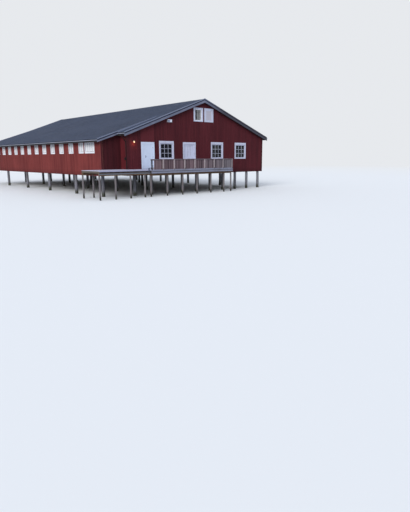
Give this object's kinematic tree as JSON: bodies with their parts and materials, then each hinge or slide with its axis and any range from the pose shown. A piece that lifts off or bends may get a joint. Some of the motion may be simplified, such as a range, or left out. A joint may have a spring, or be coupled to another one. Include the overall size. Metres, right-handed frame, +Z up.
{
  "type": "boathouse",
  "caption": "Timber boathouse on piles: gabled hall with a lean-to aisle, railed front deck, loft openings and a hinged entrance door.",
  "frame": {"origin": "middle of the footprint at the waterline, where the piles and deck posts stand", "axes": "+Z up, -Y is the gabled front with the deck, +X to the right seen from the front"},
  "size_m": [21.45, 32.305, 8.6503],
  "materials": {
    "red_cladding": "dark red painted boards, matt",
    "red_trim": "dark red painted boards, matt",
    "white_trim": "white paint, satin",
    "white_panel": "white painted boards, matt",
    "white_door": "white paint, satin",
    "window_glass": "clear, dark behind",
    "bare_timber": "unpainted sawn timber",
    "pile_timber": "round weathered logs",
    "roofing": "slate blue-grey covering, fine grained",
    "grey_board": "light grey painted board",
    "flashing_metal": "folded sheet, dull",
    "gutter_metal": "light grey, satin",
    "downpipe_metal": "dark red-brown, satin",
    "dark_metal": "black, satin",
    "deck_timber": "weathered deck boards",
    "grey_timber": "silvered timber",
    "weathered_boards": "pinkish brown weathered boards",
    "rusty_steel": "rusted steel beam",
    "lamp_glass": "lit lamp globe",
    "white_box": "white, satin",
    "dark_box": "dark grey, matt"
  },
  "bodies": {
    "building": {"front_wall_left": "red_cladding", "front_wall_over_door": "red_cladding", "front_wall_under_door": "red_cladding", "front_wall_right": "red_cladding", "front_gable": "red_cladding", "back_gable": "red_cladding", "back_wall": "red_cladding", "right_wall": "red_cladding", "left_wall_front": "red_cladding", "aisle_side_wall": "red_cladding", "aisle_front_wall": "red_cladding", "aisle_back_wall": "red_cladding", "corner_boards": "red_trim", "floor": "bare_timber", "loft_floor": "bare_timber", "aisle_beam": "bare_timber", "aisle_posts": "bare_timber", "piles": "pile_timber", "sill_beams": "bare_timber", "roof_left": "roofing", "roof_right": "roofing", "aisle_roof": "roofing", "ridge_cap": "roofing", "bargeboards": "grey_board", "verge_flashings": "flashing_metal", "gutters": "gutter_metal", "downpipes": "downpipe_metal", "front_casings": "white_trim", "front_sashes": "white_trim", "loft_linings": "white_trim", "front_glass": "window_glass", "closed_panels": "white_panel", "side_casings": "white_trim", "side_sashes": "white_trim", "side_glass": "window_glass", "door_frame": "white_trim", "door_hinges": "dark_metal", "deck_floor": "deck_timber", "deck_fascia": "grey_timber", "deck_joists": "bare_timber", "deck_beams": "rusty_steel", "deck_posts": "grey_timber", "railing_posts": "grey_timber", "railing_boards": "weathered_boards", "railing_cap": "grey_timber", "bollard": "grey_timber", "wall_lamp": "lamp_glass", "light_box": "white_box", "meter_box": "dark_box"},
    "door": {"entrance_door": "white_door", "door_handle": "dark_metal"}
  },
  "joints": [
    {"name": "entrance_door_hinge", "type": "hinge", "parent": "building", "child": "door", "pos_m": [-4.352, -14.1728, 3.337], "axis": [0, 0, 1], "range_deg": [0, 100]}
  ]
}
